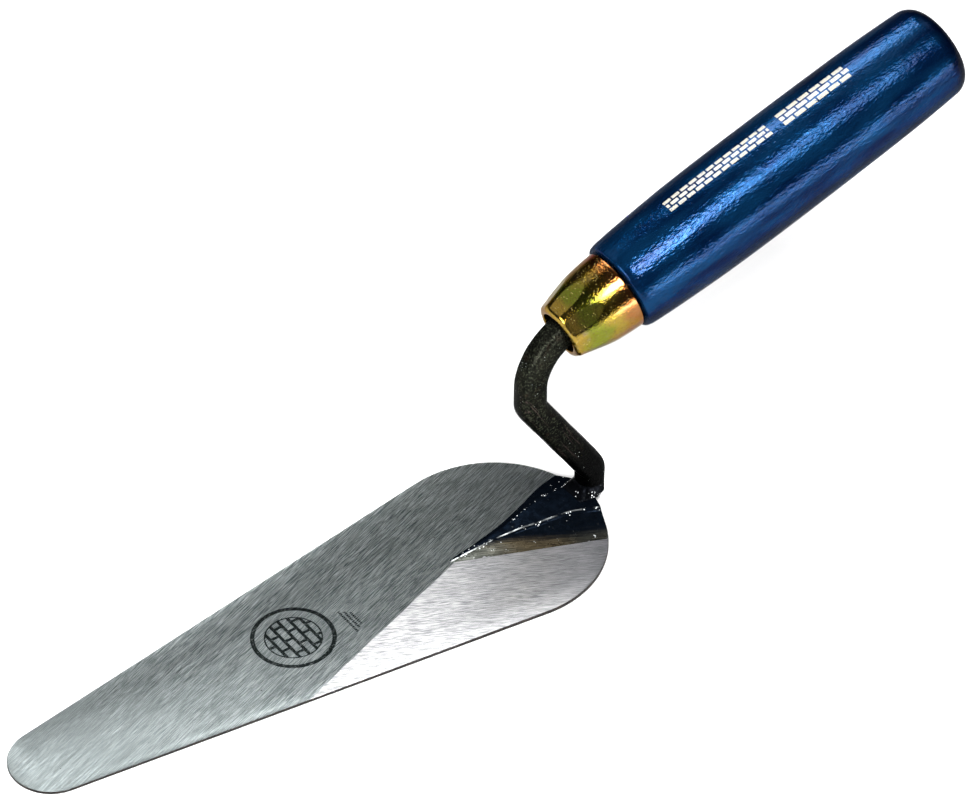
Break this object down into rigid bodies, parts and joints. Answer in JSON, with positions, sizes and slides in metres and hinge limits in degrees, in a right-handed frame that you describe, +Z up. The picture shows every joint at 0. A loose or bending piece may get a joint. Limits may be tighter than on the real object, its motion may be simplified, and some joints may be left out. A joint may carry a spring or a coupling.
{
  "type": "brick trowel",
  "caption": "Small tongue-bladed masonry trowel: ground steel blade, S-bent neck, faceted ferrule and turned wooden handle.",
  "frame": {"origin": "centre of the blade's round heel, on the flat underside of the blade", "axes": "+X along the tool from the blade's tip towards the handle's butt, +Z up from the sole through the blade, +Y completing a right-handed frame, to the right when looking from the handle towards the tip"},
  "size_m": [0.2642, 0.054, 0.1],
  "materials": {
    "ground_steel": "ground bright steel with fine straight grinding lines",
    "black_steel": "black forged steel, satin, with forge scale",
    "weld_steel": "rough black weld metal with bright specks",
    "yellow_zinc": "yellow zinc plated steel, glossy and iridescent",
    "blue_lacquer": "hardwood under deep blue gloss lacquer"
  },
  "bodies": {
    "root": {"blade": "ground_steel", "neck": "black_steel", "root_weld": "weld_steel", "ferrule": "yellow_zinc", "handle": "blue_lacquer"}
  },
  "joints": []
}
